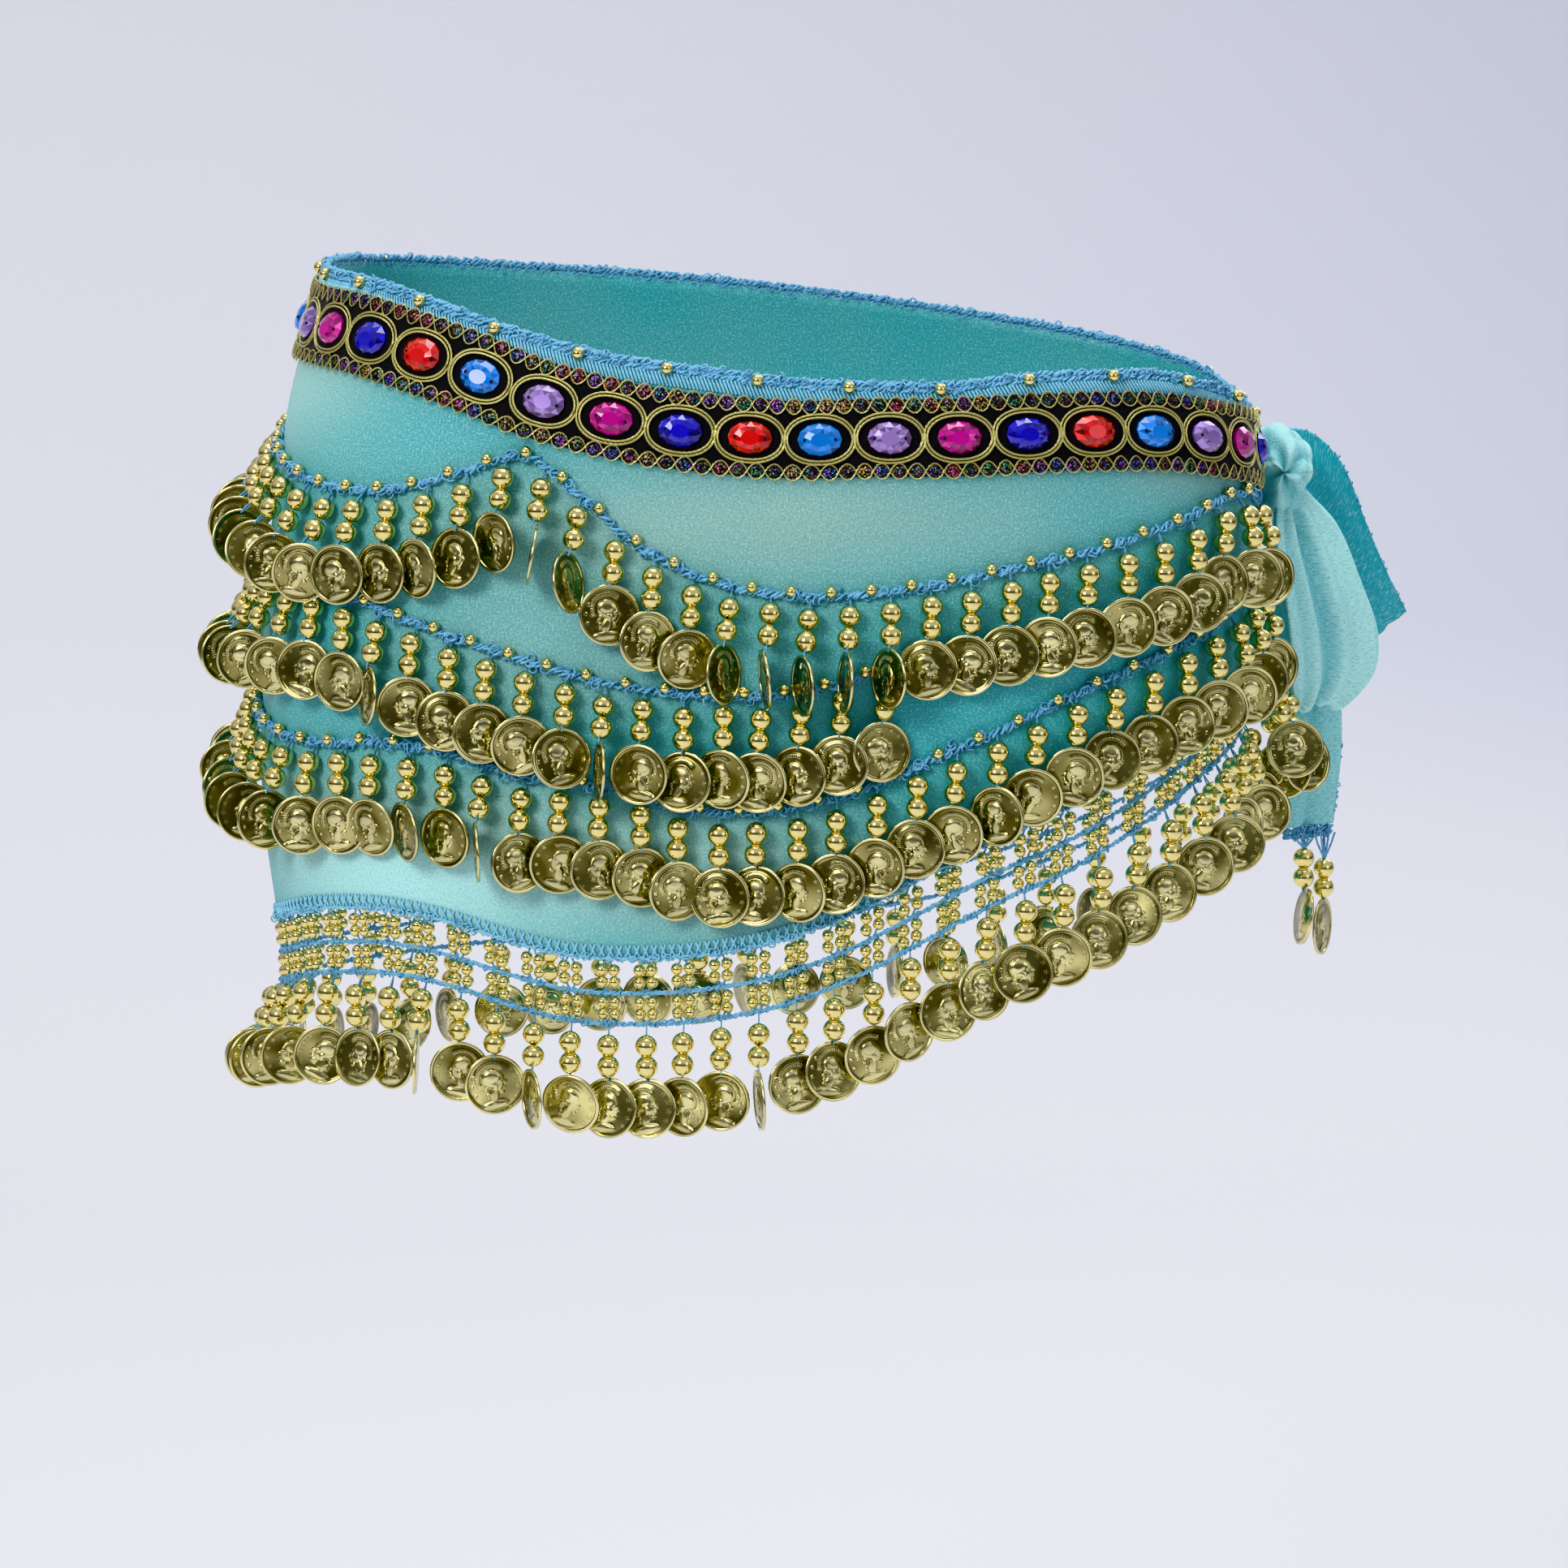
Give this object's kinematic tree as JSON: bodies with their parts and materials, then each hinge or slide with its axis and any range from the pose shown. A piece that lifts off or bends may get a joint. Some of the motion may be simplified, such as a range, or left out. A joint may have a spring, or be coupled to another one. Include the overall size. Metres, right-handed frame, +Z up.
{
  "type": "belly dance hip belt",
  "caption": "Wrapped hip belt of fine crepe cloth, tied in a half bow at one side, with a jewelled band and rows of hanging beads and coins.",
  "frame": {"origin": "middle of the hollow that the wearer's hips fill, at about the height of the belt's top edge at the centre front", "axes": "+Z up, out of the hollow's top; the belt's front faces -Y; the knot is on the +X side"},
  "size_m": [0.4131, 0.2562, 0.2948],
  "materials": {
    "wrap_cloth": "fine crepe with a soft sheen",
    "top_trim": "crocheted metallic thread",
    "jewel_band": "velvet ribbon with metallic braid and faceted jewels",
    "fringe_row_1": "pale stamped coins and bright plated beads",
    "fringe_row_2": "pale stamped coins and bright plated beads",
    "fringe_row_3": "pale stamped coins and bright plated beads",
    "hem_fringe": "pale stamped coins and bright plated beads",
    "net_front": "metallic thread net with small beads",
    "net_back": "metallic thread net with small beads",
    "side_knot": "fine crepe",
    "bow_loop": "fine crepe",
    "rear_tie_end": "fine crepe",
    "long_tie_end": "fine crepe",
    "tail_fringe": "pale stamped coins and bright plated beads"
  },
  "bodies": {
    "root": {"wrap_cloth": "wrap_cloth", "top_trim": "top_trim", "jewel_band": "jewel_band", "fringe_row_1": "fringe_row_1", "fringe_row_2": "fringe_row_2", "fringe_row_3": "fringe_row_3", "hem_fringe": "hem_fringe", "net_front": "net_front", "net_back": "net_back", "side_knot": "side_knot", "bow_loop": "bow_loop", "rear_tie_end": "rear_tie_end", "long_tie_end": "long_tie_end", "tail_fringe": "tail_fringe"}
  },
  "joints": []
}
